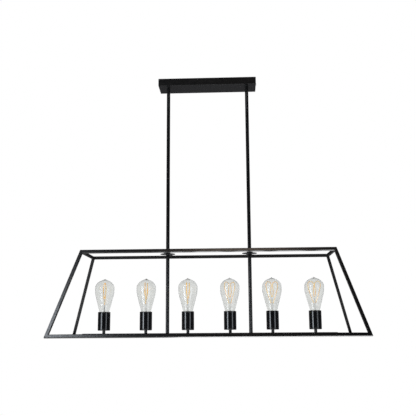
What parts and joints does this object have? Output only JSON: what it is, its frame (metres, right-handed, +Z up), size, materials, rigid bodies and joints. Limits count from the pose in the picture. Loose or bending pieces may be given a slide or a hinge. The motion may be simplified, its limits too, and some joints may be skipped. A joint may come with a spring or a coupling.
{
  "type": "linear island pendant",
  "caption": "Tapered open cage of black square tube, hung on two rods from a slim canopy, over a bar of upright filament lamps.",
  "frame": {"origin": "middle of the ceiling bracket's top face, in the ceiling plane, midway between the two fixing slots", "axes": "+Z up; +X along the pendant's length; +Y away from the side seen in the picture"},
  "size_m": [1, 0.3596, 0.888],
  "materials": {
    "black_paint": "satin",
    "plated_steel": "satin",
    "brass": "satin",
    "block_plastic": "matte",
    "porcelain": "gloss",
    "live_insulation": "satin",
    "neutral_insulation": "satin",
    "earth_insulation": "satin",
    "foot_insulator": "gloss",
    "clear_glass": "gloss",
    "filament": "matte"
  },
  "bodies": {
    "fixture": {"front_top_rail": "black_paint", "front_bottom_rail": "black_paint", "front_left_post": "black_paint", "front_right_post": "black_paint", "back_top_rail": "black_paint", "back_bottom_rail": "black_paint", "back_left_post": "black_paint", "back_right_post": "black_paint", "top_end_rails": "black_paint", "bottom_end_rails": "black_paint", "cross_straps": "black_paint", "clamp_discs": "black_paint", "canopy": "black_paint", "left_rod": "black_paint", "right_rod": "black_paint", "left_hanger": "black_paint", "right_hanger": "black_paint", "lamp_bar": "black_paint", "bar_end_caps": "black_paint", "holder_stems": "black_paint", "holder_cups": "black_paint", "ceiling_bracket": "plated_steel", "bracket_screws": "plated_steel", "tube_nipples": "plated_steel", "canopy_nuts": "plated_steel", "bar_nuts": "plated_steel", "holder_nuts": "plated_steel", "terminal_screws": "plated_steel", "terminal_clamps": "brass", "screw_shells": "brass", "centre_contacts": "brass", "terminal_block": "block_plastic", "porcelain_inserts": "porcelain", "live_wire": "live_insulation", "neutral_wire": "neutral_insulation", "earth_wire": "earth_insulation"},
    "bulb_1_base": {"bulb_1_foot": "foot_insulator"},
    "bulb_1": {"bulb_1_cap": "brass", "bulb_1_glass": "clear_glass", "bulb_1_filament": "filament"},
    "bulb_2_base": {"bulb_2_foot": "foot_insulator"},
    "bulb_2": {"bulb_2_cap": "brass", "bulb_2_glass": "clear_glass", "bulb_2_filament": "filament"},
    "bulb_3_base": {"bulb_3_foot": "foot_insulator"},
    "bulb_3": {"bulb_3_cap": "brass", "bulb_3_glass": "clear_glass", "bulb_3_filament": "filament"},
    "bulb_4_base": {"bulb_4_foot": "foot_insulator"},
    "bulb_4": {"bulb_4_cap": "brass", "bulb_4_glass": "clear_glass", "bulb_4_filament": "filament"},
    "bulb_5_base": {"bulb_5_foot": "foot_insulator"},
    "bulb_5": {"bulb_5_cap": "brass", "bulb_5_glass": "clear_glass", "bulb_5_filament": "filament"},
    "bulb_6_base": {"bulb_6_foot": "foot_insulator"},
    "bulb_6": {"bulb_6_cap": "brass", "bulb_6_glass": "clear_glass", "bulb_6_filament": "filament"}
  },
  "joints": [
    {"name": "bulb_1_lift", "type": "slide", "parent": "fixture", "child": "bulb_1_base", "axis": [0, 0, 1], "range_m": [0, 0.02359]},
    {"name": "bulb_1_turn", "type": "hinge", "parent": "bulb_1_base", "child": "bulb_1", "pos_m": [-0.35, 0, -0.8305], "axis": [0, 0, 1], "range_deg": [0, 2340]},
    {"name": "bulb_2_lift", "type": "slide", "parent": "fixture", "child": "bulb_2_base", "axis": [0, 0, 1], "range_m": [0, 0.02359]},
    {"name": "bulb_2_turn", "type": "hinge", "parent": "bulb_2_base", "child": "bulb_2", "pos_m": [-0.21, 0, -0.8305], "axis": [0, 0, 1], "range_deg": [0, 2340]},
    {"name": "bulb_3_lift", "type": "slide", "parent": "fixture", "child": "bulb_3_base", "axis": [0, 0, 1], "range_m": [0, 0.02359]},
    {"name": "bulb_3_turn", "type": "hinge", "parent": "bulb_3_base", "child": "bulb_3", "pos_m": [-0.07, 0, -0.8305], "axis": [0, 0, 1], "range_deg": [0, 2340]},
    {"name": "bulb_4_lift", "type": "slide", "parent": "fixture", "child": "bulb_4_base", "axis": [0, 0, 1], "range_m": [0, 0.02359]},
    {"name": "bulb_4_turn", "type": "hinge", "parent": "bulb_4_base", "child": "bulb_4", "pos_m": [0.07, 0, -0.8305], "axis": [0, 0, 1], "range_deg": [0, 2340]},
    {"name": "bulb_5_lift", "type": "slide", "parent": "fixture", "child": "bulb_5_base", "axis": [0, 0, 1], "range_m": [0, 0.02359]},
    {"name": "bulb_5_turn", "type": "hinge", "parent": "bulb_5_base", "child": "bulb_5", "pos_m": [0.21, 0, -0.8305], "axis": [0, 0, 1], "range_deg": [0, 2340]},
    {"name": "bulb_6_lift", "type": "slide", "parent": "fixture", "child": "bulb_6_base", "axis": [0, 0, 1], "range_m": [0, 0.02359]},
    {"name": "bulb_6_turn", "type": "hinge", "parent": "bulb_6_base", "child": "bulb_6", "pos_m": [0.35, 0, -0.8305], "axis": [0, 0, 1], "range_deg": [0, 2340]}
  ],
  "couplings": [
    {"joint": "bulb_1_lift", "follows": "bulb_1_turn", "m_per_rad": 0.00057757},
    {"joint": "bulb_2_lift", "follows": "bulb_2_turn", "m_per_rad": 0.00057757},
    {"joint": "bulb_3_lift", "follows": "bulb_3_turn", "m_per_rad": 0.00057757},
    {"joint": "bulb_4_lift", "follows": "bulb_4_turn", "m_per_rad": 0.00057757},
    {"joint": "bulb_5_lift", "follows": "bulb_5_turn", "m_per_rad": 0.00057757},
    {"joint": "bulb_6_lift", "follows": "bulb_6_turn", "m_per_rad": 0.00057757}
  ]
}
